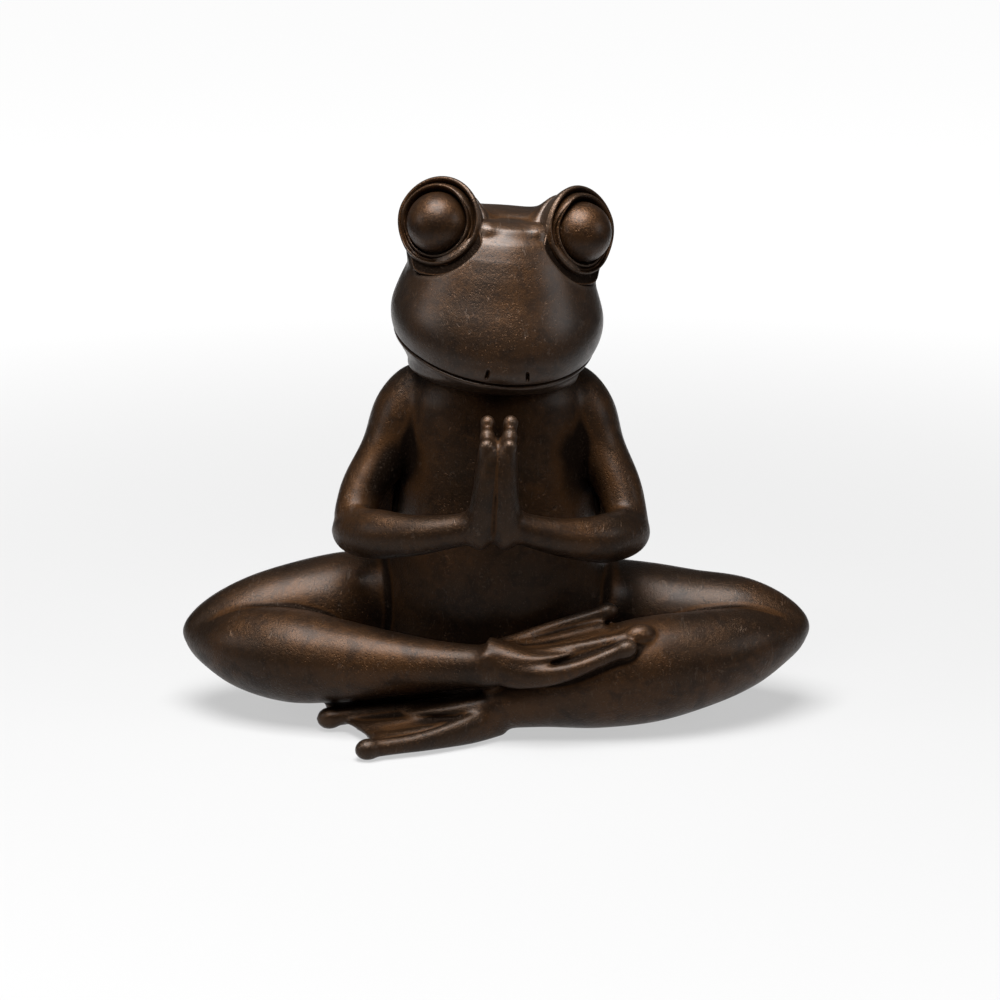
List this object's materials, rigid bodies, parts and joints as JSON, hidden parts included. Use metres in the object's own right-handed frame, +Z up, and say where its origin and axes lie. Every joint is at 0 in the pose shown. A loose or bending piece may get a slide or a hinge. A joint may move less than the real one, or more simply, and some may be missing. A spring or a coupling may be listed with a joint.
{
  "type": "frog figurine",
  "caption": "Seated frog ornament in a dark bronze finish, legs crossed and palms pressed together, standing on a flat felt base.",
  "frame": {"origin": "on the floor under the seat, on the middle plane of the body", "axes": "+Z up, +X towards the frog's own left knee, and the frog faces -Y"},
  "size_m": [0.3025, 0.1543, 0.2557],
  "materials": {
    "cast_resin": "satin bronze-coloured patina over cast resin",
    "eyeball": "satin bronze-coloured patina, rubbed smooth",
    "dowel": "plain beech",
    "plug": "matt",
    "felt": "black felt"
  },
  "bodies": {
    "root": {"torso": "cast_resin", "head": "cast_resin", "right_eyelid": "cast_resin", "left_eyelid": "cast_resin", "right_upper_arm": "cast_resin", "left_upper_arm": "cast_resin", "right_forearm": "cast_resin", "left_forearm": "cast_resin", "right_hand": "cast_resin", "left_hand": "cast_resin", "right_thigh": "cast_resin", "left_thigh": "cast_resin", "right_shin": "cast_resin", "left_shin": "cast_resin", "right_foot": "cast_resin", "left_foot": "cast_resin", "right_eyeball": "eyeball", "left_eyeball": "eyeball", "neck_dowel": "dowel", "shoulder_dowels": "dowel", "elbow_dowels": "dowel", "wrist_dowels": "dowel", "hip_dowels": "dowel", "knee_dowels": "dowel", "ankle_dowels": "dowel", "filling_plug": "plug", "base_felt": "felt"}
  },
  "joints": []
}
